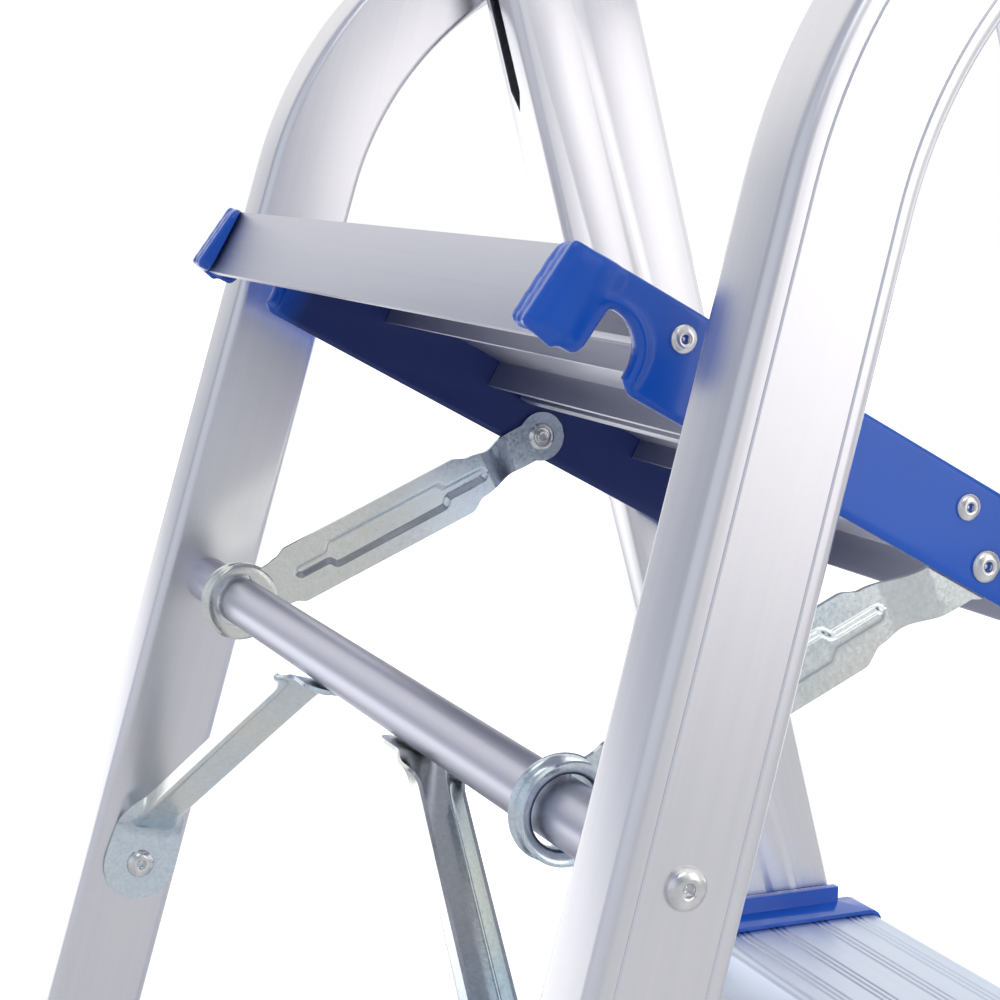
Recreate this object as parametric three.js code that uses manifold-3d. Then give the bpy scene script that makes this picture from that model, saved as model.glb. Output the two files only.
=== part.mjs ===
// Folding aluminium step stool with a hook-on platform.
// Millimetres, +Z up, climbing side towards -Y, rear support towards +Y.
import * as THREE from 'three';
import { mergeVertices } from 'three/addons/utils/BufferGeometryUtils.js';
import Module from 'manifold-3d';

const wasm = await Module();
wasm.setup();

// ---------------------------------------------------------------- driving dimensions
// The side view is laid out from the cross tube: "fore" is towards the climbing side.
const TUBE_HEIGHT = 701; // cross tube axis above the floor
const TUBE_R = 11;
const TUBE_WALL = 1.5;
const GAP = 0.3; // clearance between touching pieces
const RUN_GAP = 0.6; // clearance round a turning pin

const REAR_LEAN = 16.2; // degrees from vertical
const FRONT_HALF = 197.5; // centre plane to the front rails' inner faces at tube height
const FRONT_N = 34; // rail section, side to side
const HINGE_WASHER_T = 2.5; // sets the rear rails outside the front rails
const REAR_HALF = FRONT_HALF + FRONT_N + HINGE_WASHER_T;
const REAR_W = 46.5; // rail section, front to back
const REAR_N = 30; // rail section, side to side
const FRONT_LEAN = 14.6;
const FRONT_W = 70;
const FRONT_REACH = 258.7; // tube axis to the front rails' centre line at tube height
const FLARE = 1; // degrees that every rail spreads towards the floor
const RAIL_WALL = 2;
const RAIL_CORNER = 4.4;

const BEND_START = 208; // along the rear rail above the tube
const BEND_R = 188;
const BEND_SWEEP = 74; // degrees
const GRAB_RUN = 80; // straight run after the bend
const GRAB_INSET = 34; // grab tube axis back from the rail's end
const HINGE_ALONG = 328; // top hinge, along the front rail above tube height
const FRONT_TOP = 356; // front rail end, along the rail
const HINGE_PIN_R = 4;

const PLATFORM_TILT = 29.3; // degrees, hooks raised
const PLATFORM_REACH = 4.4; // tube axis to the platform's rear top edge
const PLATFORM_RISE = 184.5;
const PLATFORM_SPACER_T = 7.5;
const PLATFORM_HALF = FRONT_HALF - PLATFORM_SPACER_T; // to the brackets' outer faces
const PLATFORM_LENGTH = 330;
const BRACKET_T = 3;
const BRACKET_DEPTH = 35;
const HOOK_GAP = 1.8;
const HOOK_R = TUBE_R + HOOK_GAP;
const HOOK_RIM = 3.2;
const HOOK_BACK = 4; // from the platform's rear edge to the hook's rim
const HOOK = [HOOK_BACK + HOOK_RIM + HOOK_R, -26]; // along the platform, and up from its top
const LINK_PIN = [192.5, -25];
const PLATFORM_PIN = [310, -30];
const PIN_R = 3;
const PLANK_PORTS = [45, 175]; // rivet ports along the platform
const PORT_LEVEL = -10;
const PORT_HALF = 3.6;
const PORT_INSET = 3.4;
const PLANK_SKIN = 1.6;
const PLANK_SKIRT = 31.5;
const PLANK_SPLIT = 157; // where the two planks meet
const WRAP_RETURN = 12.5; // bracket strip round the platform's rear end

const LINK_T = 2;
const LINK_INSET = 12; // link arms' outer faces inside the brackets' outer faces
const LINK_HALF = PLATFORM_HALF - LINK_INSET;
const LINK_BORE_GAP = 1.4;
const LINK_BORE_R = TUBE_R + LINK_BORE_GAP;
const LINK_RING_R = LINK_BORE_R + 5.6;
const LINK_BOSS_R = 12.5;
const COLLAR_LENGTH = 9;

const TREAD_DEPTH = 105;
const TREAD_SKIRT = 28;
const TREAD_SKIN = 2;
const TREAD_PITCH = 250;
const TREAD_DROP = 208; // tube height down to the upper tread
const TREAD_TILT = 2.2; // degrees, level once the stool is fully open
const TREAD_OVERHANG = 19; // tread behind the front rails' rear face
const TREAD_COUNT = 2;
const CAP_T = 2.5;
const CAP_WIDTH = 24;
const CAP_RISE = 11;
const GROOVE_GROUPS = [0.16, 0.37, 0.63, 0.84]; // grip grooves across the tread's depth
const GROOVE_PITCH = 3.6;
const SLOT_FROM = 249; // slot in the front rail's rear face, from here to its top
const SLOT_W = 11;

const BRACE_ALONG = -145; // brace pad rivet, along the rear rail from the tube
const BRACE_TAB = 49; // centre plane to the upper brace rivets
const BRACE_W = 18;
const BRACE_FLANGE = 9;
const BRACE_T = 1.6;
const PAD_R = 18;
const PAD_SHIFT = -3; // brace pad forward of the rail's centre line
const LOWER_BAR_ALONG = -560;
const LOWER_BAR = [26, 16];
const FOOT_RISE = 52;
const FOOT_WALL = 3;
const FOOT_SOLE = 12;

const SMALL_HEAD_R = 5;
const LARGE_HEAD_R = 7;

// ---------------------------------------------------------------- finishes
const finish = (colour, roughness, metalness) =>
  new THREE.MeshStandardMaterial({ color: colour, roughness, metalness });
const aluminium = finish(0xd4d4dc, 0.38, 0.9);
const platformAluminium = finish(0xa9aebe, 0.45, 0.9);
const zinc = finish(0xb9c8cc, 0.35, 0.95);
const steel = finish(0xd8d8d6, 0.22, 1);
const bluePlastic = finish(0x1248c0, 0.25, 0);
const rubber = finish(0x23262b, 0.8, 0);

// ---------------------------------------------------------------- helpers
const rad = THREE.MathUtils.degToRad;
const mirror = [['left', 1], ['right', -1]];
const SEGMENTS = 24;
const RIVET_SEGMENTS = 12;

function signedVolume(geometry) {
  const p = geometry.attributes.position;
  const a = new THREE.Vector3();
  const b = new THREE.Vector3();
  const c = new THREE.Vector3();
  let sum = 0;
  for (let i = 0; i < geometry.index.count; i += 3) {
    a.fromBufferAttribute(p, geometry.index.getX(i));
    b.fromBufferAttribute(p, geometry.index.getX(i + 1));
    c.fromBufferAttribute(p, geometry.index.getX(i + 2));
    sum += a.dot(b.cross(c));
  }
  return sum;
}

// A closed geometry with shared corners merged and its faces pointing out.
function closed(geometry) {
  geometry.deleteAttribute('normal');
  geometry.deleteAttribute('uv');
  const merged = mergeVertices(geometry, 1e-4);
  if (signedVolume(merged) < 0) {
    merged.index.array.reverse();
  }
  return merged;
}

function solid(geometry) {
  const merged = closed(geometry);
  return new wasm.Manifold(new wasm.Mesh({
    numProp: 3,
    vertProperties: new Float32Array(merged.attributes.position.array),
    triVerts: new Uint32Array(merged.index.array),
  }));
}

function shapeOf(manifold) {
  const mesh = manifold.getMesh();
  const geometry = new THREE.BufferGeometry();
  geometry.setAttribute('position', new THREE.BufferAttribute(mesh.vertProperties, 3));
  geometry.setIndex(new THREE.BufferAttribute(mesh.triVerts, 1));
  geometry.computeVertexNormals();
  return geometry;
}

const join = (...parts) => parts.reduce((sum, part) => sum.add(part));
const cut = (body, ...tools) => tools.reduce((rest, tool) => rest.subtract(tool), body);

function box(x, y, z) {
  const geometry = new THREE.BoxGeometry(
    Math.abs(x[1] - x[0]), Math.abs(y[1] - y[0]), Math.abs(z[1] - z[0]));
  geometry.translate((x[0] + x[1]) / 2, (y[0] + y[1]) / 2, (z[0] + z[1]) / 2);
  return solid(geometry);
}

// A round bar along X between x[0] and x[1], centred on (y, z).
function barX(r, x, y = 0, z = 0, segments = SEGMENTS) {
  const geometry = new THREE.CylinderGeometry(r, r, Math.abs(x[1] - x[0]), segments);
  geometry.rotateZ(Math.PI / 2);
  geometry.translate((x[0] + x[1]) / 2, y, z);
  return solid(geometry);
}

// A side-view outline (fore, up) given thickness along X.
function plateX(shape, x, curveSegments = 5) {
  const low = Math.min(...x);
  const geometry = new THREE.ExtrudeGeometry(shape, {
    depth: Math.max(...x) - low, bevelEnabled: false, curveSegments,
  });
  const foreUpSide = new THREE.Matrix4().makeBasis(
    new THREE.Vector3(0, -1, 0), new THREE.Vector3(0, 0, 1), new THREE.Vector3(-1, 0, 0));
  geometry.applyMatrix4(foreUpSide);
  geometry.translate(Math.max(...x), 0, 0);
  return solid(geometry);
}

function outline(points) {
  return new THREE.Shape(points.map(([a, b]) => new THREE.Vector2(a, b)));
}

// A rectangle with rounded corners, centred, as a shape or a hole.
function roundedRect(w, h, r, Kind = THREE.Shape) {
  const path = new Kind();
  const x = w / 2;
  const y = h / 2;
  path.moveTo(x, -y + r);
  path.lineTo(x, y - r);
  path.absarc(x - r, y - r, r, 0, Math.PI / 2);
  path.lineTo(-x + r, y);
  path.absarc(-x + r, y - r, r, Math.PI / 2, Math.PI);
  path.lineTo(-x, -y + r);
  path.absarc(-x + r, -y + r, r, Math.PI, 1.5 * Math.PI);
  path.lineTo(x - r, -y);
  path.absarc(x - r, -y + r, r, 1.5 * Math.PI, 2 * Math.PI);
  return path;
}

function railSection(n, w) {
  const section = roundedRect(n, w, RAIL_CORNER);
  const inner = roundedRect(
    n - 2 * RAIL_WALL, w - 2 * RAIL_WALL, RAIL_CORNER - RAIL_WALL, THREE.Path);
  section.holes.push(inner);
  return section;
}

function straight(section, from, to) {
  const geometry = new THREE.ExtrudeGeometry(section, {
    depth: to - from, bevelEnabled: false, curveSegments: 2,
  });
  geometry.translate(0, 0, from);
  return solid(geometry);
}

// A domed rivet along +X: its head rests on x = 0 and its shank runs to -grip.
function rivet(headR, shankR, grip) {
  const headH = headR * 0.42;
  const pit = shankR * 0.45;
  const profile = [
    [0, -grip], [shankR, -grip], [shankR, GAP], [headR, GAP], [headR, headH * 0.4],
    [headR * 0.7, headH], [pit, headH], [0, headH * 0.4],
  ];
  const geometry = new THREE.LatheGeometry(
    profile.map(([r, h]) => new THREE.Vector2(r, h)), RIVET_SEGMENTS);
  geometry.rotateZ(-Math.PI / 2);
  return closed(geometry);
}

function named(name, geometry, material) {
  const mesh = new THREE.Mesh(geometry, material);
  mesh.name = name;
  return mesh;
}

function addRivet(parent, name, side, at, headR, shankR, grip) {
  const mesh = named(name, rivet(headR, shankR, grip), steel);
  mesh.position.set(...at);
  if (side < 0) {
    mesh.rotation.z = Math.PI;
  }
  parent.add(mesh);
  return mesh;
}

// ---------------------------------------------------------------- layout
const stool = new THREE.Group();
const rear = new THREE.Group();
rear.position.z = TUBE_HEIGHT;
rear.rotation.x = rad(REAR_LEAN);
const front = new THREE.Group();
front.position.set(0, -FRONT_REACH, TUBE_HEIGHT);
front.rotation.x = -rad(FRONT_LEAN);
const platform = new THREE.Group();
platform.position.set(0, -PLATFORM_REACH, TUBE_HEIGHT + PLATFORM_RISE);
platform.rotation.x = rad(PLATFORM_TILT);
stool.add(rear, front, platform);
stool.updateMatrixWorld(true);

const spread = Math.tan(rad(FLARE));
// The same point in another group, as [x, y, z].
function carry(point, from, to) {
  const world = from.localToWorld(new THREE.Vector3(...point));
  return to.worldToLocal(world).toArray();
}
const hingeInRear = carry([0, 0, HINGE_ALONG], front, rear);
const linkPinWorld = platform.localToWorld(new THREE.Vector3(0, -LINK_PIN[0], LINK_PIN[1]));
const platformPinInFront = carry([0, -PLATFORM_PIN[0], PLATFORM_PIN[1]], platform, front);
const rearFootAlong = -TUBE_HEIGHT / Math.cos(rad(REAR_LEAN));
const frontFootAlong = -TUBE_HEIGHT / Math.cos(rad(FRONT_LEAN));

function railGroup(parent, side, half, n) {
  const group = new THREE.Group();
  group.position.x = side * (half + n / 2);
  group.rotation.y = -side * rad(FLARE);
  parent.add(group);
  return group;
}

// Half-width between inner faces at a height along the rail.
const rearInner = (along) => REAR_HALF - along * spread;
const frontInner = (along) => FRONT_HALF - along * spread;

// A tool given in one group's axes, moved into another's.
function moved(geometry, from, to) {
  from.updateWorldMatrix(true, false);
  to.updateWorldMatrix(true, false);
  geometry.applyMatrix4(from.matrixWorld);
  geometry.applyMatrix4(to.matrixWorld.clone().invert());
  return solid(geometry);
}

// A hole tool along X, centred on a point of one group, cut in another.
function drill(r, length, at, from, to) {
  const geometry = new THREE.CylinderGeometry(r, r, length, 16);
  geometry.rotateZ(Math.PI / 2);
  geometry.translate(...at);
  return moved(geometry, from, to);
}

// A foot: a shoe round the rail's end with a level sole.
function foot(n, w, along, rail) {
  const body = straight(
    roundedRect(n + 2 * FOOT_WALL, w + 2 * FOOT_WALL, RAIL_CORNER + FOOT_WALL),
    along - w, along + FOOT_RISE);
  const pocket = straight(
    roundedRect(n + 2 * GAP, w + 2 * GAP, RAIL_CORNER), along + FOOT_SOLE, along + 2 * FOOT_RISE);
  const floor = new THREE.BoxGeometry(4000, 4000, 400);
  floor.translate(0, 0, -200);
  return shapeOf(cut(body, pocket, moved(floor, stool, rail)));
}

// A plug that closes a rail's open end: a lid and a hollow spigot.
function railPlug(n, w) {
  const lid = straight(roundedRect(n, w, RAIL_CORNER), GAP, 5);
  const inset = 2 * (RAIL_WALL + GAP);
  const spigot = straight(roundedRect(n - inset, w - inset, 2), -18, 1);
  const hollow = straight(roundedRect(n - inset - 4, w - inset - 4, 1), -20, -2);
  return shapeOf(cut(join(lid, spigot), hollow));
}

// ---------------------------------------------------------------- rear frame
// A point on the rear rail's centre line, some degrees round the bend.
function bendPoint(sweep) {
  const turn = rad(sweep);
  return new THREE.Vector3(
    0, -BEND_R * (1 - Math.cos(turn)), BEND_START + BEND_R * Math.sin(turn));
}

const runDirection = new THREE.Vector3(
  0, -Math.sin(rad(BEND_SWEEP)), Math.cos(rad(BEND_SWEEP)));
const railEnd = bendPoint(BEND_SWEEP).addScaledVector(runDirection, GRAB_RUN);
const grab = railEnd.clone().addScaledVector(runDirection, -GRAB_INSET);

function rearRailPath() {
  const path = new THREE.CurvePath();
  const low = new THREE.Vector3(0, 0, rearFootAlong + FOOT_SOLE + GAP);
  const steps = 10;
  let last = bendPoint(0);
  path.add(new THREE.LineCurve3(low, last));
  for (let i = 1; i <= steps; i += 1) {
    const next = bendPoint((BEND_SWEEP * i) / steps);
    path.add(new THREE.LineCurve3(last, next));
    last = next;
  }
  path.add(new THREE.LineCurve3(last, railEnd));
  return path;
}

// The rail's section carried along straight runs and round the bend.
function sweep(section, points) {
  const contour = section.extractPoints(2);
  const loops = [contour.shape, ...contour.holes].map((loop, i) => {
    const open = loop.filter((p, j) => p.distanceTo(loop[(j + 1) % loop.length]) > 1e-6);
    const clockwise = THREE.ShapeUtils.isClockWise(open);
    return clockwise === (i > 0) ? open : open.reverse();
  });
  const faces = THREE.ShapeUtils.triangulateShape(loops[0], loops.slice(1));
  const ring = loops.flat();
  const positions = [];
  points.forEach((point, i) => {
    const before = points[Math.max(i - 1, 0)];
    const after = points[Math.min(i + 1, points.length - 1)];
    const inward = point.clone().sub(before).normalize();
    const outward = after.clone().sub(point).normalize();
    const along = inward.add(outward).normalize();
    const across = new THREE.Vector3(1, 0, 0).cross(along);
    const halfTurn = i === 0 || i === points.length - 1 ? 1 : mitre(before, point, after);
    ring.forEach((corner) => {
      const place = point.clone().addScaledVector(across, -corner.y / halfTurn);
      positions.push(place.x + corner.x, place.y, place.z);
    });
  });
  const index = [];
  const count = ring.length;
  const last = (points.length - 1) * count;
  faces.forEach(([a, b, c]) => {
    index.push(c, b, a, last + a, last + b, last + c);
  });
  let start = 0;
  loops.forEach((loop) => {
    for (let i = 0; i < points.length - 1; i += 1) {
      for (let j = 0; j < loop.length; j += 1) {
        const a = i * count + start + j;
        const b = i * count + start + ((j + 1) % loop.length);
        index.push(a, b, b + count, a, b + count, a + count);
      }
    }
    start += loop.length;
  });
  const geometry = new THREE.BufferGeometry();
  geometry.setAttribute('position', new THREE.Float32BufferAttribute(positions, 3));
  geometry.setIndex(index);
  return solid(geometry);
}

// Cosine of half the turn between two runs, so that a mitred section keeps its width.
function mitre(before, point, after) {
  const a = point.clone().sub(before).normalize();
  const b = after.clone().sub(point).normalize();
  return Math.cos(a.angleTo(b) / 2);
}

function rearRailPoints() {
  const points = [];
  rearRailPath().curves.forEach((line) => {
    points.push(line.v1);
  });
  points.push(railEnd.clone());
  return points;
}

for (const [word, side] of mirror) {
  const rail = railGroup(rear, side, REAR_HALF, REAR_N);
  const inner = -side * (REAR_N / 2);
  const outer = side * (REAR_N / 2);
  // A hole through the outer wall for a rivet, or the inner wall for a crosspiece.
  const outerHole = (r, y, z) => barX(r, [outer - side * (RAIL_WALL + 1), outer + side], y, z);
  const innerHole = (r, y, z) => barX(r, [inner - side, inner + side * (RAIL_WALL + 1)], y, z);
  const body = cut(
    sweep(railSection(REAR_N, REAR_W), rearRailPoints()),
    innerHole(TUBE_R + RUN_GAP, 0, 0),
    outerHole(3 + GAP, 0, 0),
    innerHole(TUBE_R + RUN_GAP, grab.y, grab.z),
    outerHole(3 + GAP, grab.y, grab.z),
    innerHole(2.4 + GAP, PAD_SHIFT, BRACE_ALONG),
    outerHole(2.4 + GAP, 0, LOWER_BAR_ALONG),
    innerHole(LOWER_BAR[1] / 2 + 1.5, 0, LOWER_BAR_ALONG),
    drill(HINGE_PIN_R + RUN_GAP, 4 * REAR_N, [side * rearInner(HINGE_ALONG), ...hingeInRear.slice(1)],
      rear, rail));
  rail.add(named(`rear_rail_${word}`, shapeOf(body), aluminium));
  addRivet(rail, `tube_rivet_${word}`, side, [outer, 0, 0], LARGE_HEAD_R, 3, 3.5);
  addRivet(rail, `grab_rivet_${word}`, side, [outer, grab.y, grab.z], LARGE_HEAD_R, 3, 3.5);
  addRivet(rail, `lower_bar_rivet_${word}`, side, [outer, 0, LOWER_BAR_ALONG],
    SMALL_HEAD_R, 2.4, 3.5);
  const shoe = foot(REAR_N, REAR_W, rearFootAlong, rail);
  rail.add(named(`rear_foot_${word}`, shoe, rubber));
  const plug = named(`grab_end_cap_${word}`, railPlug(REAR_N, REAR_W), bluePlastic);
  plug.position.copy(railEnd);
  plug.rotation.x = rad(BEND_SWEEP);
  rail.add(plug);
}

function verticalHole(x, y, z, r, length) {
  const geometry = new THREE.CylinderGeometry(r, r, length, 16);
  geometry.rotateX(Math.PI / 2);
  geometry.translate(x, y, z);
  return solid(geometry);
}

// A round crosspiece that runs through both rails' inner walls.
function tubeBetween(half) {
  const reach = half + REAR_N - RAIL_WALL - 1;
  const tube = barX(TUBE_R, [-reach, reach], 0, 0, 32);
  return cut(tube, barX(TUBE_R - TUBE_WALL, [-reach - 1, reach + 1], 0, 0, 32));
}

const crossTube = cut(tubeBetween(REAR_HALF),
  verticalHole(BRACE_TAB, 0, -TUBE_R, 2.4 + GAP, 6),
  verticalHole(-BRACE_TAB, 0, -TUBE_R, 2.4 + GAP, 6));
rear.add(named('cross_tube', shapeOf(crossTube), aluminium));
const grabTube = named('grab_tube', shapeOf(tubeBetween(rearInner(grab.z))), aluminium);
grabTube.position.copy(grab);
rear.add(grabTube);

// Closed box crossbar with round spigots that enter the rails.
function lowerBar() {
  const reach = rearInner(LOWER_BAR_ALONG) - 1;
  const spigot = reach + REAR_N - RAIL_WALL;
  const section = roundedRect(LOWER_BAR[1], LOWER_BAR[0], 3);
  const body = plateX(section, [-reach, reach]);
  const pin = barX(LOWER_BAR[1] / 2, [-spigot, spigot]);
  const bore = barX(LOWER_BAR[1] / 2 - 2, [-spigot - 1, spigot + 1]);
  return cut(join(body, pin), bore);
}
const bar = named('lower_cross_bar', shapeOf(lowerBar()), aluminium);
bar.position.z = LOWER_BAR_ALONG;
rear.add(bar);

// ---------------------------------------------------------------- braces
// Two folded channels from the rear rails up to the underside of the cross tube.
function braceBody() {
  const wallX = rearInner(BRACE_ALONG) - 0.6;
  const pad = new THREE.Shape();
  pad.absarc(-PAD_SHIFT, BRACE_ALONG, PAD_R, Math.PI, 2 * Math.PI);
  pad.lineTo(-PAD_SHIFT + BRACE_W / 2, BRACE_ALONG + 1.4 * PAD_R);
  pad.lineTo(-PAD_SHIFT - BRACE_W / 2, BRACE_ALONG + 1.4 * PAD_R);
  const padPlate = plateX(pad, [wallX - BRACE_T, wallX]);
  const tabZ = -TUBE_R - GAP - BRACE_T;
  const low = [wallX, BRACE_ALONG + PAD_R];
  const high = [BRACE_TAB + 14, tabZ];
  const run = new THREE.Vector2(high[0] - low[0], high[1] - low[1]).normalize();
  const thick = [-run.y * BRACE_T, run.x * BRACE_T];
  // The channel's web is a folded strip seen from the front: wall, slope, tab.
  const strip = outline([
    [wallX, low[1] - 8], [wallX, low[1]],
    [high[0], high[1] + BRACE_T], [BRACE_TAB - 12, high[1] + BRACE_T],
    [BRACE_TAB - 12, high[1]], [high[0] - thick[0], high[1]],
    [wallX - BRACE_T, low[1] - BRACE_T], [wallX - BRACE_T, low[1] - 8],
  ]);
  const across = (shape, from, to) => {
    const geometry = new THREE.ExtrudeGeometry(shape, {
      depth: to - from, bevelEnabled: false,
    });
    geometry.rotateX(Math.PI / 2);
    geometry.translate(0, to, 0);
    return solid(geometry);
  };
  const at = (share, drop) => [
    low[0] + (high[0] - low[0]) * share - run.y * -drop,
    low[1] + (high[1] - low[1]) * share + run.x * drop];
  const flange = outline([
    at(0.14, 0.5), at(0.95, 0.5), at(0.9, BRACE_FLANGE), at(0.2, BRACE_FLANGE),
  ]);
  const half = BRACE_W / 2;
  const mid = PAD_SHIFT;
  const web = across(strip, mid - half, mid + half);
  const flangeA = across(flange, mid - half, mid - half + BRACE_T);
  const flangeB = across(flange, mid + half - BRACE_T, mid + half);
  const padHole = barX(2.4 + GAP, [wallX - 10, wallX + 5], mid, BRACE_ALONG);
  const tabRivetHole = verticalHole(BRACE_TAB, 0, tabZ, 2.4 + GAP, 12);
  return cut(join(padPlate, web, flangeA, flangeB), padHole, tabRivetHole);
}

for (const [word, side] of mirror) {
  const brace = new THREE.Group();
  rear.add(brace);
  if (side > 0) {
    brace.add(named(`brace_${word}`, shapeOf(braceBody()), zinc));
  } else {
    brace.add(named(`brace_${word}`, shapeOf(braceBody().mirror([1, 0, 0])), zinc));
  }
  const padX = rearInner(BRACE_ALONG) - 0.6 - BRACE_T;
  addRivet(rear, `brace_rivet_${word}`, -side, [side * padX, PAD_SHIFT, BRACE_ALONG],
    LARGE_HEAD_R, 2.4, BRACE_T + RAIL_WALL + 2);
  const tab = addRivet(rear, `brace_tab_rivet_${word}`, 1,
    [side * BRACE_TAB, 0, -TUBE_R - GAP - BRACE_T], SMALL_HEAD_R, 2.4, BRACE_T + TUBE_WALL + 2);
  tab.rotation.set(0, Math.PI / 2, 0);
}

// ---------------------------------------------------------------- front frame
function slotTool(side) {
  const x = side * 4;
  const shape = outline([
    [x - SLOT_W / 2, FRONT_TOP + 5], [x - SLOT_W / 2, SLOT_FROM + SLOT_W],
    [x, SLOT_FROM], [x + SLOT_W / 2, SLOT_FROM + SLOT_W], [x + SLOT_W / 2, FRONT_TOP + 5],
  ]);
  const geometry = new THREE.ExtrudeGeometry(shape, { depth: RAIL_WALL + 2, bevelEnabled: false });
  geometry.rotateX(Math.PI / 2);
  geometry.translate(0, FRONT_W / 2 + 1, 0);
  return solid(geometry);
}

// Upper and lower treads: where each one's rear top edge sits.
const leanTan = Math.tan(rad(FRONT_LEAN));
const frontRearFace = (z) => (
  FRONT_REACH - FRONT_W / 2 / Math.cos(rad(FRONT_LEAN)) - z * leanTan);
const treads = [];
for (let i = 0; i < TREAD_COUNT; i += 1) {
  const z = -TREAD_DROP - i * TREAD_PITCH;
  const group = new THREE.Group();
  group.position.set(0, -(frontRearFace(z) - TREAD_OVERHANG), TUBE_HEIGHT + z);
  group.rotation.x = rad(TREAD_TILT);
  stool.add(group);
  group.updateWorldMatrix(true, false);
  const half = frontInner(z / Math.cos(rad(FRONT_LEAN)));
  treads.push({ word: ['upper', 'lower', 'bottom'][i] ?? `extra${i}`, group, half });
}

for (const [word, side] of mirror) {
  const rail = railGroup(front, side, FRONT_HALF, FRONT_N);
  const low = frontFootAlong + FOOT_SOLE + GAP;
  let body = cut(
    straight(railSection(FRONT_N, FRONT_W), low, FRONT_TOP),
    slotTool(side),
    drill(HINGE_PIN_R + GAP, 3 * FRONT_N, [side * FRONT_HALF, 0, HINGE_ALONG], front, rail),
    drill(PIN_R + GAP, 20, [side * FRONT_HALF, platformPinInFront[1], platformPinInFront[2]],
      front, rail));
  treads.forEach(({ word: level, group, half }) => {
    // The rivet runs right through the rail into the tread's end cap.
    const at = [side * half, -TREAD_DEPTH / 2 - 6, -TREAD_SKIRT / 2 - 2];
    body = cut(body, drill(2.4 + GAP, 4 * FRONT_N, at, group, rail));
    const outerFace = frontInner(carry(at, group, front)[2]) + FRONT_N + GAP / 2;
    addRivet(group, `tread_rivet_${level}_${word}`, side,
      [side * outerFace, at[1], at[2]], SMALL_HEAD_R, 2.4, outerFace - half + 5);
  });
  rail.add(named(`front_rail_${word}`, shapeOf(body), aluminium));
  const shoe = foot(FRONT_N, FRONT_W, frontFootAlong, rail);
  rail.add(named(`front_foot_${word}`, shoe, rubber));
  const plug = named(`front_rail_cap_${word}`, railPlug(FRONT_N, FRONT_W), bluePlastic);
  plug.position.z = FRONT_TOP;
  rail.add(plug);

  const outsideX = rearInner(hingeInRear[2]) + REAR_N + 0.4;
  const insideX = frontInner(HINGE_ALONG) + 0.6;
  addRivet(front, `hinge_pin_${word}`, side, [side * outsideX, 0, HINGE_ALONG],
    LARGE_HEAD_R + 1, HINGE_PIN_R, outsideX - insideX);
  const between = [frontInner(HINGE_ALONG) + FRONT_N + 0.5, rearInner(hingeInRear[2]) - 0.5];
  const washer = cut(barX(11, between), barX(HINGE_PIN_R + GAP, [between[0] - 1, between[1] + 1]));
  const washerMesh = named(`hinge_washer_${word}`,
    shapeOf(side > 0 ? washer : washer.mirror([1, 0, 0])), bluePlastic);
  washerMesh.position.z = HINGE_ALONG;
  front.add(washerMesh);

  const pinAt = platformPinInFront;
  const headX = PLATFORM_HALF - BRACKET_T - GAP;
  const wallX = frontInner(pinAt[2]);
  addRivet(front, `platform_pin_${word}`, -side, [side * headX, pinAt[1], pinAt[2]],
    LARGE_HEAD_R, PIN_R, wallX + RAIL_WALL + 3 - headX);
  const ends = [PLATFORM_HALF + 0.5, wallX - 0.5];
  const spacer = cut(barX(9, ends), barX(PIN_R + GAP, [ends[0] - 1, ends[1] + 1]));
  const spacerMesh = named(`platform_spacer_${word}`,
    shapeOf(side > 0 ? spacer : spacer.mirror([1, 0, 0])), bluePlastic);
  spacerMesh.position.set(0, pinAt[1], pinAt[2]);
  front.add(spacerMesh);
}

// ---------------------------------------------------------------- treads
// Channel with rounded nosings, shallow grip grooves and two stiffening legs.
function treadOutline() {
  const r = 5;
  const d = TREAD_DEPTH;
  const points = [];
  const corner = (x, y, from, to) => {
    for (let i = 0; i <= 3; i += 1) {
      const angle = rad(from + ((to - from) * i) / 3);
      points.push([x + r * Math.cos(angle), y + r * Math.sin(angle)]);
    }
  };
  points.push([0, -TREAD_SKIRT]);
  corner(r, -r, 180, 90);
  GROOVE_GROUPS.forEach((share) => {
    for (let i = -1; i <= 1; i += 1) {
      const x = d * share + i * GROOVE_PITCH;
      points.push([x - 1, 0], [x, -0.8], [x + 1, 0]);
    }
  });
  corner(d - r, -r, 90, 0);
  points.push([d, -TREAD_SKIRT], [d - 8, -TREAD_SKIRT], [d - 8, -TREAD_SKIRT + TREAD_SKIN]);
  points.push([d - TREAD_SKIN, -TREAD_SKIRT + TREAD_SKIN], [d - TREAD_SKIN, -r], [d - r, -TREAD_SKIN - 0.5]);
  points.push([0.6 * d + TREAD_SKIN / 2, -TREAD_SKIN - 0.5], [0.6 * d + TREAD_SKIN / 2, -0.6 * TREAD_SKIRT]);
  points.push([0.6 * d - TREAD_SKIN / 2, -0.6 * TREAD_SKIRT], [0.6 * d - TREAD_SKIN / 2, -TREAD_SKIN - 0.5]);
  points.push([r, -TREAD_SKIN - 0.5], [TREAD_SKIN, -r], [TREAD_SKIN, -TREAD_SKIRT]);
  return outline(points);
}

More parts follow.
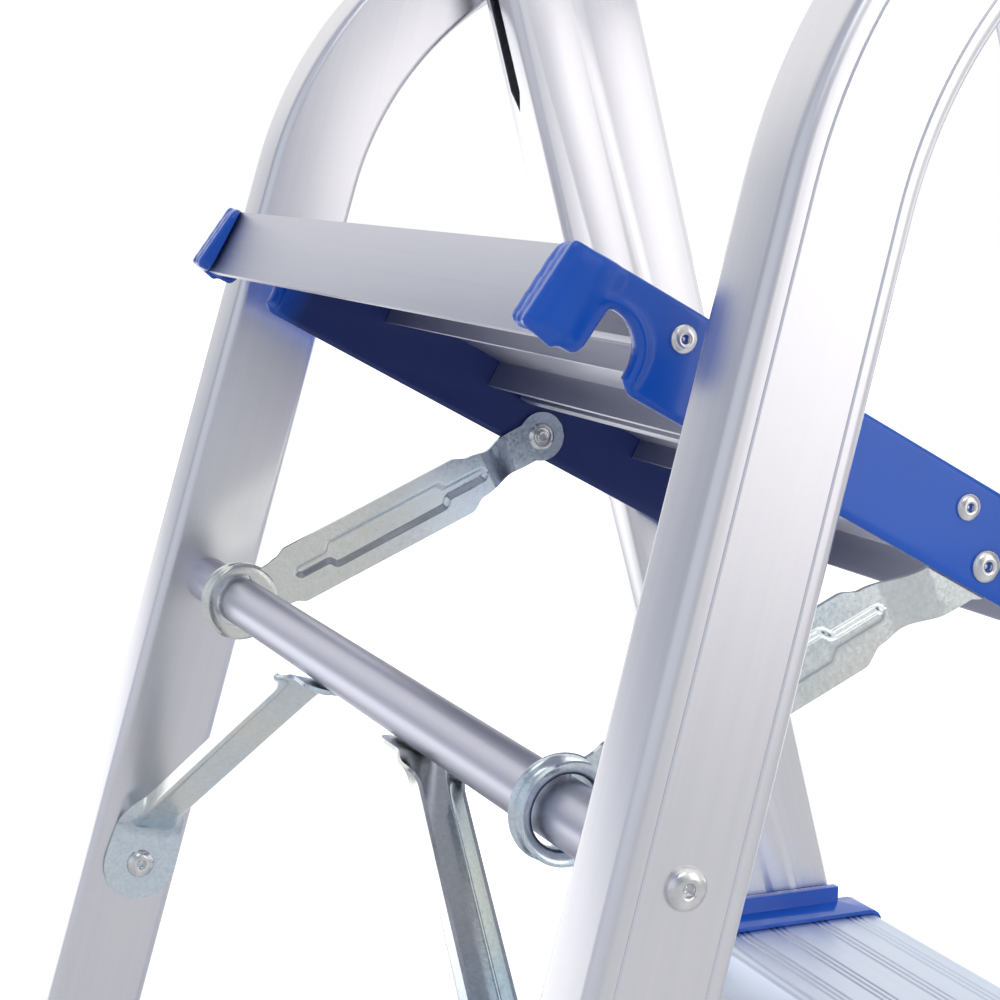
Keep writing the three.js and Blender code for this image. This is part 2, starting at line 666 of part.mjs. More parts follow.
// An end cap: a plate against the rail and a sleeve round the tread's end.
function treadCap(half, side) {
  const d = TREAD_DEPTH;
  const end = half - 0.6;
  const around = (grow, from, to) => plateX(
    roundedRect(d + 2 * grow, TREAD_SKIRT + 2 * grow, 5 + grow), [side * from, side * to], 2,
  ).translate([0, -d / 2, -TREAD_SKIRT / 2]);
  const sleeve = around(CAP_T, end - CAP_WIDTH, end);
  const room = join(around(GAP, end - CAP_WIDTH - 1, end - CAP_T),
    box([side * (end - CAP_WIDTH - 1), side * (end - CAP_T)],
      [-d - GAP, GAP], [-TREAD_SKIRT - GAP, -TREAD_SKIRT / 2]));
  const under = box([side * (end - CAP_WIDTH - 1), side * (end - CAP_T)],
    [-d + 10, -10], [-TREAD_SKIRT * 2, -TREAD_SKIRT / 2]);
  const lip = box([side * (end - 5), side * end], [-d * 0.86, -d * 0.14], [-2, CAP_RISE]);
  const hole = barX(2.4 + GAP, [side * (end - 9), side * (end + 3)],
    -d / 2 - 6, -TREAD_SKIRT / 2 - 2);
  return shapeOf(cut(join(sleeve, lip), room, under, hole));
}

for (const { word, group, half } of treads) {
  const reach = half - 0.6 - CAP_T - GAP;
  const body = plateX(treadOutline(), [-reach, reach]);
  group.add(named(`tread_${word}`, shapeOf(body), aluminium));
  for (const [name, side] of mirror) {
    group.add(named(`tread_cap_${word}_${name}`, treadCap(half, side), bluePlastic));
  }
}

// ---------------------------------------------------------------- platform
const plankHalf = PLATFORM_HALF - BRACKET_T - 0.6;
// A plank: a thin skin on webs, each web given as [position, depth, thickness].
function plank(from, to, webs, ports) {
  const x = [-plankHalf, plankHalf];
  const skin = box(x, [-from, -to], [-PLANK_SKIN, 0]);
  const legs = webs.map(([at, depth, t]) => box(x, [-at, -at - t], [-depth, -PLANK_SKIN / 2]));
  // Ports stop short of the brackets, so that the links' bosses can swing past.
  const inside = [x[0] + PORT_INSET, x[1] - PORT_INSET];
  const blocks = ports.map((at) => box(
    inside, [-at - PORT_HALF, -at + PORT_HALF], [PORT_LEVEL - PORT_HALF, -0.8]));
  const bores = ports.map((at) => barX(2.4 + GAP, [x[0] - 1, x[1] + 1], -at, PORT_LEVEL, 12));
  return cut(join(skin, ...legs, ...blocks), ...bores);
}
const splitAt = PLANK_SPLIT;
const rearPlank = join(
  plank(0, splitAt, [
    [0, PLANK_SKIRT, PLANK_SKIN], [90, 12, PLANK_SKIN], [splitAt - 3, 15, 3],
  ], PLANK_PORTS.slice(0, 1)),
  box([-plankHalf, plankHalf], [-3.4, -1], [-PLANK_SKIRT, -PLANK_SKIRT + PLANK_SKIN]));
const frontPlank = join(
  plank(splitAt + 0.5, PLATFORM_LENGTH, [
    [splitAt + 0.5, 12, PLANK_SKIN], [245, 12, PLANK_SKIN],
    [PLATFORM_LENGTH - PLANK_SKIN, 20, PLANK_SKIN],
  ], PLANK_PORTS.slice(1)));
platform.add(named('plank_rear', shapeOf(rearPlank), platformAluminium));
platform.add(named('plank_front', shapeOf(frontPlank), platformAluminium));

// Side bracket: hook notch at the rear, lobe for the platform pivot at the front.
function bracketOutline() {
  const [hx, hy] = HOOK;
  const [px, py] = PLATFORM_PIN;
  const end = PLATFORM_LENGTH + 4;
  const shape = new THREE.Shape();
  shape.moveTo(-4.6, 0.4);
  shape.lineTo(-8.5, -BRACKET_DEPTH + 4);
  shape.lineTo(hx - HOOK_R - 2.4, -BRACKET_DEPTH + 1);
  shape.lineTo(hx - HOOK_R, -BRACKET_DEPTH + 5);
  shape.lineTo(hx - HOOK_R, hy);
  shape.absarc(hx, hy, HOOK_R, Math.PI, 0, true);
  shape.lineTo(hx + HOOK_R, -BRACKET_DEPTH + 3);
  shape.lineTo(hx + HOOK_R + 4, -BRACKET_DEPTH);
  shape.lineTo(px - 24, -BRACKET_DEPTH);
  shape.lineTo(px - 13, py - 8);
  shape.absarc(px, py, 14, rad(210), rad(330), false);
  shape.lineTo(end, py);
  shape.lineTo(end, -4);
  shape.lineTo(end - 4, 0.4);
  return shape;
}

function bracket(side) {
  const outerX = side * PLATFORM_HALF;
  const innerX = side * (PLATFORM_HALF - BRACKET_T);
  const wall = plateX(bracketOutline(), [innerX, outerX]);
  // The rear end wraps round the plank's end and shows as an upright strip.
  const wrap = plateX(outline([
    [-4.6, 0.4], [-1.2, 0.4], [-1.2, -BRACKET_DEPTH + 3.6], [-8.5, -BRACKET_DEPTH + 4],
  ]), [side * (PLATFORM_HALF - WRAP_RETURN), outerX]);
  const rim = cut(
    barX(HOOK_R + HOOK_RIM, [side * (PLATFORM_HALF - 8), outerX], -HOOK[0], HOOK[1], 32),
    box([0, side * 300], [-HOOK[0] - 40, -HOOK[0] + 40], [-99, -BRACKET_DEPTH + 5]),
    barX(HOOK_R, [0, side * 300], -HOOK[0], HOOK[1], 32),
    box([0, side * 300], [-HOOK[0] - HOOK_R, -HOOK[0] + HOOK_R], [-99, HOOK[1]]));
  const holes = PLANK_PORTS.map((at) => barX(
    2.4 + GAP, [innerX - side, outerX + side], -at, PORT_LEVEL, 12));
  const linkHole = barX(PIN_R + GAP, [innerX - side, outerX + side], -LINK_PIN[0], LINK_PIN[1]);
  const pivotHole = barX(
    PIN_R + RUN_GAP, [innerX - side, outerX + side], -PLATFORM_PIN[0], PLATFORM_PIN[1]);
  return cut(join(wall, wrap, rim), ...holes, linkHole, pivotHole);
}

for (const [word, side] of mirror) {
  platform.add(named(`bracket_${word}`, shapeOf(bracket(side)), bluePlastic));
  const outerX = side * PLATFORM_HALF;
  PLANK_PORTS.forEach((at, i) => {
    addRivet(platform, `bracket_rivet_${['rear', 'front'][i]}_${word}`, side,
      [outerX, -at, PORT_LEVEL], SMALL_HEAD_R, 2.4, 12);
  });
  addRivet(platform, `link_rivet_${word}`, side, [outerX, -LINK_PIN[0], LINK_PIN[1]],
    LARGE_HEAD_R - 1, PIN_R, BRACKET_T - 0.4);
}

// ---------------------------------------------------------------- links
const linkLength = Math.hypot(linkPinWorld.y, linkPinWorld.z - TUBE_HEIGHT);
const linkTurn = Math.atan2(-linkPinWorld.y, linkPinWorld.z - TUBE_HEIGHT);

// Stamped strip: ring on the tube, stepped bead, joggle out to the bracket, boss.
function link() {
  const innerX = LINK_HALF - LINK_T;
  const bossX = PLATFORM_HALF - BRACKET_T - 0.4;
  const end = linkLength;
  const arm = outline([
    [-10, 0], [-11.5, 18], [-14, 27], [-14, end - 50], [-11, end - 41], [-9.5, end],
    [9.5, end], [11, end - 41], [16.5, end - 50], [16.5, 27], [12.5, 18], [10, 0],
  ]);
  const flat = join(
    plateX(arm, [innerX - 5, bossX + 5]),
    barX(LINK_RING_R, [innerX - 5, bossX + 5], 0, 0, 28),
    barX(LINK_BOSS_R, [innerX - 5, bossX + 5], 0, end, 20));
  // The strip seen edge on: straight, a joggle, then the boss beside the bracket.
  const joggle = outline([
    [innerX, -40], [LINK_HALF, -40], [LINK_HALF, end - 36], [bossX, end - 20],
    [bossX, end + 40], [bossX - LINK_T, end + 40], [bossX - LINK_T, end - 19.4],
    [innerX, end - 35.4],
  ]);
  const edge = new THREE.ExtrudeGeometry(joggle, { depth: 80, bevelEnabled: false });
  edge.rotateX(Math.PI / 2);
  edge.translate(0, 40, 0);
  const strip = flat.intersect(solid(edge));
  const bead = plateX(outline([
    [-4, 30], [-4, 46], [-9, 54], [-9, end - 76], [-4, end - 68], [-4, end - 52],
    [4, end - 52], [4, end - 68], [11, end - 76], [11, 54], [4, 46], [4, 30],
  ]), [LINK_HALF - 0.5, LINK_HALF + 1.4]);
  const collar = barX(LINK_BORE_R + 1.8, [LINK_HALF - 1, LINK_HALF + COLLAR_LENGTH], 0, 0, 28);
  const bore = barX(LINK_BORE_R, [innerX - 5, LINK_HALF + 20], 0, 0, 28);
  const pinHole = barX(PIN_R + GAP, [innerX - 5, bossX + 5], 0, end);
  return cut(join(strip, bead, collar), bore, pinHole);
}

// The hollow tail of the link rivet, rolled over the link's boss.
function eyelet() {
  const x = PLATFORM_HALF - BRACKET_T - 0.4;
  const shank = barX(PIN_R, [x - LINK_T - 1, x], 0, linkLength, 16);
  const roll = barX(PIN_R + 3, [x - LINK_T - 2.6, x - LINK_T - GAP], 0, linkLength, 16);
  const bore = barX(PIN_R - 1.2, [x - LINK_T - 8, x - 0.8], 0, linkLength, 16);
  return cut(join(shank, roll), bore);
}

for (const [word, side] of mirror) {
  const group = new THREE.Group();
  group.position.z = TUBE_HEIGHT;
  group.rotation.x = linkTurn;
  const handed = (manifold) => (side > 0 ? manifold : manifold.mirror([1, 0, 0]));
  group.add(named(`link_${word}`, shapeOf(handed(link())), zinc));
  group.add(named(`link_eyelet_${word}`, shapeOf(handed(eyelet())), steel));
  stool.add(group);
}

// Stand the stool on z = 0, centred over the origin.
stool.updateMatrixWorld(true);
const extent = new THREE.Box3().setFromObject(stool, true);
const centre = extent.getCenter(new THREE.Vector3());
stool.position.set(-centre.x, -centre.y, -extent.min.z);
stool.updateMatrixWorld(true);

export default stool;
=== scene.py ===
import math

import bmesh
import bpy
from mathutils import Matrix, Vector


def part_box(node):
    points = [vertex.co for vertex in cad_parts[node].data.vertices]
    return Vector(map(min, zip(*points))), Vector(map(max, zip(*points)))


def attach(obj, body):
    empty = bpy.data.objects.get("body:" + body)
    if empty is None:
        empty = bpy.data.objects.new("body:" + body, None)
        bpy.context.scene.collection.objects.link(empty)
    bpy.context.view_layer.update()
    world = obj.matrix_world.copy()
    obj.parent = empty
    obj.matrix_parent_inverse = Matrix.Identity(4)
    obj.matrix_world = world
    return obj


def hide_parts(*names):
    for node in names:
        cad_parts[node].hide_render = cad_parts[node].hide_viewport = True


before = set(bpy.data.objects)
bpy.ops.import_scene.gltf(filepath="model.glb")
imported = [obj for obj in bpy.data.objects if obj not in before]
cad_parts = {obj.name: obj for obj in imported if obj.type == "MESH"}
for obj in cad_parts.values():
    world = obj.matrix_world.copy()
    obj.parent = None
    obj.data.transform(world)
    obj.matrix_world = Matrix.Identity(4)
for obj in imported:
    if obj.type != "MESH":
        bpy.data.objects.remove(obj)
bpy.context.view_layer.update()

# ------------------------------------------------------------------ sizes, in metres
MM = 0.001
REAR_LEAN = math.radians(16.2)
REAR_HALF = 234 * MM  # centre plane to a rail's inner face at tube height
REAR_SECTION = (30 * MM, 46.5 * MM)  # side to side, front to back
FRONT_LEAN = math.radians(14.6)
FRONT_SECTION = (34 * MM, 70 * MM)
FRONT_REACH = 258.7 * MM
FRONT_HALF = 197.5 * MM
FLARE = math.radians(1)
RAIL_CORNER = 4.4 * MM
SCORE_LINES = (0.19, 0.85)  # across the outer wide face, from its rear edge
BEND_START = 208 * MM
BEND_R = 188 * MM
BEND_SWEEP = math.radians(74)
GRAB_RUN = 80 * MM
PLATFORM_TILT = math.radians(29.3)
PLATFORM_HALF = 190 * MM
PLATFORM_REACH = 4.4 * MM  # tube axis to the platform's rear top edge
PLATFORM_RISE = 184.5 * MM
PLATFORM_PIN = (310 * MM, -30 * MM)
PLATFORM_END = 334 * MM
HOOK = (20 * MM, -26 * MM)
HOOK_R = 12.8 * MM
TREAD_TILT = math.radians(2.2)
BRACKET_DEPTH = 35 * MM
TUBE_R = 11 * MM
LINK_HALF = 178 * MM
SIDES = (("left", 1), ("right", -1))


def middle(node):
    low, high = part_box(node)
    return (low + high) / 2


tube = middle("cross_tube")
hinge = middle("hinge_pin_left")
link_pin = middle("link_rivet_left")


def turned(origin, angle):
    return Matrix.Translation(origin) @ Matrix.Rotation(angle, 4, "X")


REAR = turned((0, tube.y, tube.z), REAR_LEAN)
FRONT = turned((0, tube.y - FRONT_REACH, tube.z), -FRONT_LEAN)
PLATFORM = turned((0, tube.y - PLATFORM_REACH, tube.z + PLATFORM_RISE), PLATFORM_TILT)
LINK = turned((0, tube.y, tube.z), math.atan2(tube.y - link_pin.y, link_pin.z - tube.z))
link_length = math.hypot(link_pin.y - tube.y, link_pin.z - tube.z)


# ------------------------------------------------------------------ shader maths
class Wire:
    """A socket, or a number, that takes part in Python expressions."""

    def __init__(self, tree, socket):
        self.tree = tree
        self.socket = socket

    def node(self, kind, settings=None, inputs=None, output=0):
        made = self.tree.nodes.new(kind)
        for name, value in (settings or {}).items():
            if name == "ramp":
                ramp = made.color_ramp
                while len(ramp.elements) < len(value):
                    ramp.elements.new(0.5)
                for element, (place, shade) in zip(ramp.elements, value):
                    element.position = place
                    element.color = (*shade, 1)
            else:
                setattr(made, name, value)
        for name, value in (inputs or {}).items():
            if isinstance(value, Wire):
                self.tree.links.new(value.socket, made.inputs[name])
            else:
                made.inputs[name].default_value = value
        return Wire(self.tree, made.outputs[output])

    def maths(self, operation, *values):
        inputs = {i: v for i, v in enumerate(values)}
        return self.node("ShaderNodeMath", {"operation": operation}, inputs)

    def __add__(self, other):
        return self.maths("ADD", self, other)

    def __sub__(self, other):
        return self.maths("SUBTRACT", self, other)

    def __mul__(self, other):
        return self.maths("MULTIPLY", self, other)

    def __rsub__(self, other):
        return self.maths("SUBTRACT", other, self)

    def size_of(self):
        return self.maths("ABSOLUTE", self)

    __radd__ = __add__
    __rmul__ = __mul__

    def mix(self, first, second):
        """Colour first where this is 0, second where it is 1."""
        def full(c):
            return c if isinstance(c, Wire) else (*c, 1)
        return self.node(
            "ShaderNodeMix", {"data_type": "RGBA"},
            {0: self, 6: full(first), 7: full(second)}, output=2)

    def step(self, low, high):
        return self.node("ShaderNodeMapRange", None, {
            "Value": self, "From Min": low, "From Max": high})

    def noise(self, scale, detail=2.0, stretch=(1, 1, 1), rough=0.5):
        placed = self.node("ShaderNodeMapping", None, {"Vector": self, "Scale": stretch})
        return self.node("ShaderNodeTexNoise", None, {
            "Vector": placed, "Scale": scale, "Detail": detail, "Roughness": rough})


def finish_named(name, metallic, roughness, build, **constants):
    """A material whose varying colour, roughness and bump come from build(coordinates)."""
    material = bpy.data.materials.new(name)
    material.use_nodes = True
    tree = material.node_tree
    shader = tree.nodes["Principled BSDF"]
    shader.inputs["Metallic"].default_value = metallic
    shader.inputs["Roughness"].default_value = roughness
    for key, value in constants.items():
        shader.inputs[key.replace("_", " ")].default_value = value
    own = tree.nodes.new("ShaderNodeAttribute")
    own.attribute_name = "own_frame"
    coordinates = Wire(tree, own.outputs["Vector"])
    varying = build(coordinates)
    for key in ("Base Color", "Roughness", "Emission Color"):
        if key in varying:
            tree.links.new(varying[key].socket, shader.inputs[key])
    if "height" in varying:
        bump = coordinates.node("ShaderNodeBump", None, {
            "Height": varying["height"], "Strength": varying["strength"],
            "Distance": varying["distance"]})
        tree.links.new(bump.socket, shader.inputs["Normal"])
    return material


def drawn_aluminium(name, light, dark, rough, along, lines=1.0, metallic=1.0):
    """Extruded metal: fine die lines along one axis, cloudy anodising, faint handling marks."""
    stretch = [60, 60, 60]
    stretch["xyz".index(along)] = 0.6

    def build(at):
        die = at.noise(8, 3, stretch, 0.7)
        coarse = at.noise(2.2, 2, stretch, 0.5)
        cloud = at.noise(9, 3)
        fleck = at.noise(420, 2)
        shade = (die * 0.4 + coarse * 0.25 + cloud * 0.35).step(0.25, 0.75)
        return {
            "Base Color": shade.mix(dark, light),
            "Roughness": (rough - 0.07) + die * 0.08 + cloud * 0.05 + fleck * 0.02,
            "height": die * 0.7 + coarse * 0.3,
            "strength": 0.05 * lines,
            "distance": 0.0004,
        }
    return finish_named(name, metallic, rough, build)


def zinc_plate():
    """Bright zinc: fine spangle, bluish to yellowish passivation, rolled grain."""
    def build(at):
        spangle = at.node("ShaderNodeTexVoronoi", None, {"Vector": at, "Scale": 900.0}, output=1)
        grey = at.node("ShaderNodeRGBToBW", None, {"Color": spangle})
        tone = at.noise(9, 1).step(0.40, 0.60)
        grain = at.noise(300, 3)
        tint = tone.mix((0.55, 0.66, 0.74), (0.72, 0.73, 0.66))
        bright = (grey * 0.5 + grain * 0.5).step(0.25, 0.75)
        return {
            "Base Color": (bright * 0.55).mix(tint, (0.90, 0.93, 0.95)),
            "Roughness": 0.11 + grey * 0.10 + grain * 0.05,
            "height": grey * 0.4 + grain * 0.6,
            "strength": 0.06,
            "distance": 0.0003,
        }
    return finish_named("zinc_plate", 1.0, 0.2, build)


def moulded_blue(name, shaded_inner_face=False):
    """Glossy moulded plastic with faint flow marks; on a bracket's inner face a painted shade
    turns the blue dark navy, and that face is a little rougher.
    """
    def build(at):
        flow = at.noise(14, 2)
        orange_peel = at.noise(520, 2)
        colour = flow.step(0.35, 0.65).mix((0.0, 0.080, 0.50), (0.0, 0.105, 0.60))
        painted_shade_and_matt = 0.0
        if shaded_inner_face:
            x = at.node("ShaderNodeSeparateXYZ", None, {"Vector": at})
            y = at.node("ShaderNodeSeparateXYZ", None, {"Vector": at}, output=1)
            # painted shade: this mask picks out the inner face, away from the hook end, and
            # paints it as if it sat in shade
            within = x.size_of().step(188.4 * MM, 187.6 * MM)
            painted_shade_and_matt = within * (0.0 - y).step(38 * MM, 52 * MM)
            # painted shade colour: a dark navy in place of the shade on the inner face; the same
            # mask then raises the roughness a little
            colour = painted_shade_and_matt.mix(colour, (0.002, 0.020, 0.16))
            painted_shade_and_matt = painted_shade_and_matt * 0.2
        return {
            "Base Color": colour,
            "Roughness": (0.17 + painted_shade_and_matt) + flow * 0.06 + orange_peel * 0.03,
            "height": orange_peel,
            "strength": 0.04,
            "distance": 0.0003,
        }
    return finish_named(name, 0.0, 0.2, build, Coat_Weight=0.3, Coat_Roughness=0.06,
                        Specular_IOR_Level=0.45)


def rivet_steel():
    def build(at):
        ring = at.noise(180, 3)
        return {
            "Base Color": ring.step(0.3, 0.7).mix((0.62, 0.62, 0.62), (0.86, 0.86, 0.85)),
            "Roughness": 0.12 + ring * 0.14,
            "height": ring, "strength": 0.06, "distance": 0.0003,
        }
    return finish_named("rivet_steel", 1.0, 0.18, build)


def shoe_rubber():
    def build(at):
        pebble = at.noise(380, 3)
        dust = at.noise(30, 3)
        return {
            "Base Color": dust.step(0.4, 0.7).mix((0.018, 0.019, 0.021), (0.05, 0.05, 0.052)),
            "Roughness": 0.62 + pebble * 0.2,
            "height": pebble, "strength": 0.3, "distance": 0.0006,
        }
    return finish_named("shoe_rubber", 0.0, 0.75, build)


def floor_paint():
    """Pale dull paint, lit up like the backdrop a good way behind the stool."""
    def build(at):
        cloud = at.noise(3, 2)
        away = at.node("ShaderNodeVectorMath", {"operation": "DOT_PRODUCT"}, {
            0: at, 1: (0.90, -0.43, 0.0)}, output=1)
        return {
            "Base Color": cloud.step(0.3, 0.7).mix((0.68, 0.68, 0.70), (0.72, 0.72, 0.73)),
            "Roughness": 0.75 + cloud * 0.1,
            "Emission Color": away.step(0.9, 1.7).mix((0.0, 0.0, 0.0), (1.0, 1.0, 1.0)),
        }
    return finish_named("floor_paint", 0.0, 0.8, build, Emission_Strength=0.9)


RAIL = drawn_aluminium("rail_aluminium", (0.83, 0.82, 0.84), (0.73, 0.73, 0.77), 0.30, "z")
CROSS = drawn_aluminium("cross_aluminium", (0.66, 0.66, 0.74), (0.57, 0.57, 0.66), 0.36, "x")
TREAD = drawn_aluminium("tread_aluminium", (0.72, 0.79, 0.90), (0.64, 0.70, 0.82), 0.38, "x")
PLANK = drawn_aluminium(
    "platform_aluminium", (0.67, 0.67, 0.73), (0.57, 0.58, 0.64), 0.40, "x", lines=3.0)
ZINC = zinc_plate()
BLUE = moulded_blue("moulded_blue")
# the bracket material carries painted shade: its inner face is coloured dark navy
SHADED_BRACKET_BLUE = moulded_blue("bracket_blue_shaded_inner", shaded_inner_face=True)
STEEL = rivet_steel()
RUBBER = shoe_rubber()


# ------------------------------------------------------------------ making pieces
def piece(name, mesh, body, material, nodes=(), place=Matrix.Identity(4), crease=40):
    """Puts a mesh made in its own frame on a body; its finish follows that own frame."""
    for polygon in mesh.polygons:
        polygon.use_smooth = True
    mesh.set_sharp_from_angle(angle=math.radians(crease))
    mesh.materials.clear()
    mesh.materials.append(material)
    own = mesh.attributes.new("own_frame", "FLOAT_VECTOR", "POINT")
    for kept, vertex in zip(own.data, mesh.vertices):
        kept.vector = vertex.co
    mesh.transform(place)
    made = bpy.data.objects.new(name, mesh)
    bpy.context.scene.collection.objects.link(made)
    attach(made, body)
    if nodes:
        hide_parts(*nodes)
    return made


def from_rings(name, rings, capped=True, looped=False):
    """A skin over rings of equal point counts; with looped the last joins the first."""
    bm = bmesh.new()
    rows = [[bm.verts.new(p) for p in ring] for ring in rings]
    pairs = list(zip(rows, rows[1:])) + ([(rows[-1], rows[0])] if looped else [])
    for a, b in pairs:
        for i in range(len(a)):
            j = (i + 1) % len(a)
            bm.faces.new((a[i], a[j], b[j], b[i]))
    if capped and not looped:
        bm.faces.new(list(reversed(rows[0])))
        bm.faces.new(rows[-1])
    bmesh.ops.remove_doubles(bm, verts=bm.verts, dist=1e-7)
    bmesh.ops.recalc_face_normals(bm, faces=bm.faces)
    mesh = bpy.data.meshes.new(name)
    bm.to_mesh(mesh)
    bm.free()
    return mesh


def arc(centre, r, start, end, count):
    """Points round a circle from start to end degrees."""
    points = []
    for i in range(count + 1):
        a = math.radians(start + (end - start) * i / count)
        points.append((centre[0] + r * math.cos(a), centre[1] + r * math.sin(a)))
    return points


def rounded_section(n, w, r, count=6):
    x, y = n / 2 - r, w / 2 - r
    return (arc((x, y), r, 0, 90, count) + arc((-x, y), r, 90, 180, count)
            + arc((-x, -y), r, 180, 270, count) + arc((x, -y), r, 270, 360, count))


def plate(name, outline, x0, x1, edge, holes=()):
    """A plate between x0 and x1 with rounded edges; outline is (fore, up) in its own frame."""
    curve = bpy.data.curves.new(name, "CURVE")
    curve.dimensions = "2D"
    curve.fill_mode = "BOTH"
    curve.extrude = max(abs(x1 - x0) / 2 - edge, 0)
    curve.bevel_depth = edge
    curve.bevel_resolution = 3
    curve.offset = -edge
    for loop in [outline, *holes]:
        spline = curve.splines.new("POLY")
        spline.points.add(len(loop) - 1)
        for point, (a, b) in zip(spline.points, loop):
            point.co = (a, b, 0, 1)
        spline.use_cyclic_u = True
    holder = bpy.data.objects.new(name, curve)
    bpy.context.scene.collection.objects.link(holder)
    bpy.context.view_layer.update()
    mesh = bpy.data.meshes.new_from_object(
        holder.evaluated_get(bpy.context.evaluated_depsgraph_get()))
    bpy.data.objects.remove(holder)
    mesh.transform(Matrix((
        (0, 0, -1, (x0 + x1) / 2), (-1, 0, 0, 0), (0, 1, 0, 0), (0, 0, 0, 1))))
    bm = bmesh.new()
    bm.from_mesh(mesh)
    bmesh.ops.remove_doubles(bm, verts=bm.verts, dist=1e-6)
    bmesh.ops.recalc_face_normals(bm, faces=bm.faces)
    bm.to_mesh(mesh)
    bm.free()
    return mesh


def turned_x(name, profile, segments=40):
    """A turned solid about the X axis from (x, radius) points."""
    rings = []
    for i in range(segments):
        a = 2 * math.pi * i / segments
        rings.append([(x, r * math.cos(a), r * math.sin(a)) for x, r in profile])
    bm = bmesh.new()
    rows = [[bm.verts.new(p) for p in ring] for ring in rings]
    for i, row in enumerate(rows):
        after = rows[(i + 1) % len(rows)]
        for j in range(len(row) - 1):
            bm.faces.new((row[j], row[j + 1], after[j + 1], after[j]))
    bmesh.ops.remove_doubles(bm, verts=bm.verts, dist=1e-7)
    for face in [f for f in bm.faces if f.calc_area() < 1e-14]:
        bm.faces.remove(face)
    bmesh.ops.recalc_face_normals(bm, faces=bm.faces)
    mesh = bpy.data.meshes.new(name)
    bm.to_mesh(mesh)
    bm.free()
    return mesh


def joined(name, *meshes):
    bm = bmesh.new()
    for mesh in meshes:
        bm.from_mesh(mesh)
    mesh = bpy.data.meshes.new(name)
    bm.to_mesh(mesh)
    bm.free()
    return mesh


def mirrored(mesh, side):
    """The mesh itself on the left, its mirror image on the right."""
    if side < 0:
        mesh.transform(Matrix.Scale(-1, 4, (1, 0, 0)))
        mesh.flip_normals()
    return mesh


def eased(node, body, material, slot, edge=0.5 * MM, crease=35, frame_of=None):
    """A copy of a made part with its sharp edges eased, in its own frame."""
    place = frame_of or Matrix.Identity(4)
    bm = bmesh.new()
    bm.from_mesh(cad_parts[node].data)
    bmesh.ops.remove_doubles(bm, verts=bm.verts, dist=1e-5)
    bmesh.ops.dissolve_limit(
        bm, angle_limit=math.radians(1.5), verts=bm.verts, edges=bm.edges)
    sharp = [e for e in bm.edges if len(e.link_faces) == 2
             and e.calc_face_angle(0) > math.radians(crease)]
    bmesh.ops.bevel(bm, geom=sharp, offset=edge, segments=2, affect="EDGES",
                    profile=0.6, clamp_overlap=True)
    mesh = bpy.data.meshes.new("eased_" + node)
    bm.to_mesh(mesh)
    bm.free()
    mesh.transform(place.inverted())
    return piece("fine_" + node, mesh, body, material, [node], place)


# ------------------------------------------------------------------ rear frame
def rail_frame(parent, side, half, n):
    return (parent @ Matrix.Translation((side * (half + n / 2), 0, 0))
            @ Matrix.Rotation(-side * FLARE, 4, "Y"))


def scored_section(n, w, side):
    """The rail section with two shallow score lines on its outer wide face."""
    section = rounded_section(n, w, RAIL_CORNER)
    outer = side * n / 2
    depth, reach = 0.45 * MM, 0.55 * MM
    marks = []
    for share in SCORE_LINES:
        y = w / 2 - share * w
        marks += [(y + reach, outer), (y, outer - side * depth), (y - reach, outer)]
    marks = [(x, y) for y, x in marks]
    if side > 0:
        return section + marks[::-1]
    half = len(section) // 2
    return section[:half] + marks + section[half:]


def rear_rail_line():
    """Points and leans along the rear rail: straight, bent forward, short level run."""
    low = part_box("rear_foot_left")[0].z + 13 * MM
    start = -(tube.z - low) / math.cos(REAR_LEAN)
    stations = [(0.0, start + (BEND_START - start) * i / 6, 0.0) for i in range(7)]
    steps = 36
    for i in range(1, steps + 1):
        a = BEND_SWEEP * i / steps
        stations.append((-BEND_R * (1 - math.cos(a)), BEND_START + BEND_R * math.sin(a), a))
    y, z, a = stations[-1]
    stations.append((y - GRAB_RUN * math.sin(a), z + GRAB_RUN * math.cos(a), a))
    return stations


def rear_rail(word, side):
    n, w = REAR_SECTION
    section = scored_section(n, w, side)
    rings = []
    for y, z, a in rear_rail_line():
        turn = Matrix.Rotation(a, 3, "X")
        rings.append([Vector((0, y, z)) + turn @ Vector((p, q, 0)) for p, q in section])
    mesh = from_rings("rear_rail", rings)
    piece(f"rear_rail_{word}_drawn", mesh, "rear_frame", RAIL,
          [f"rear_rail_{word}"], rail_frame(REAR, side, REAR_HALF, n), crease=25)


def rivet(node, body, direction):
    """A blind rivet: pressed dome with a rolled edge and the broken mandrel down its bore."""
    low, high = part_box(node)
    head_r = (high.z - low.z) / 2
    h = head_r * 0.42
    seat = high.x - h if direction > 0 else low.x + h
    mesh = rivet_head("rivet", head_r, h)
    if direction < 0:
        mesh.transform(Matrix.Rotation(math.pi, 4, "Z"))
    place = Matrix.Translation((seat, (low.y + high.y) / 2, (low.z + high.z) / 2))
    piece("domed_" + node, mesh, body, STEEL, [node], place, crease=50)


def rivet_head(name, head_r, h):
    bore = head_r * 0.30
    profile = [(-0.3 * MM, 0), (-0.3 * MM, head_r * 0.96), (h * 0.12, head_r)]
    for i in range(1, 9):
        a = math.radians(90 * i / 8)
        profile.append((h * 0.12 + h * 0.86 * math.sin(a),
                        bore * 1.35 + (head_r - bore * 1.35) * math.cos(a)))
    profile += [(h * 0.9, bore * 1.1), (h * 0.70, bore), (-h * 0.3, bore * 0.95),
                (-h * 0.32, bore * 0.7), (-h * 0.02, bore * 0.55), (h * 0.05, bore * 0.2),
                (h * 0.05, 0)]
    return turned_x(name, profile, 36)


def round_bar(node, body, material):
    """A drawn tube with its ends inside the rails."""
    low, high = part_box(node)
    r = (high.z - low.z) / 2
    profile = [(low.x, 0), (low.x, r), (0.5 * low.x, r), (0, r), (0.5 * high.x, r),
               (high.x, r), (high.x, 0)]
    mesh = turned_x("round_bar", profile, 64)
    centre = (low + high) / 2
    piece("drawn_" + node, mesh, body, material, [node],
          Matrix.Translation((0, centre.y, centre.z)), crease=50)


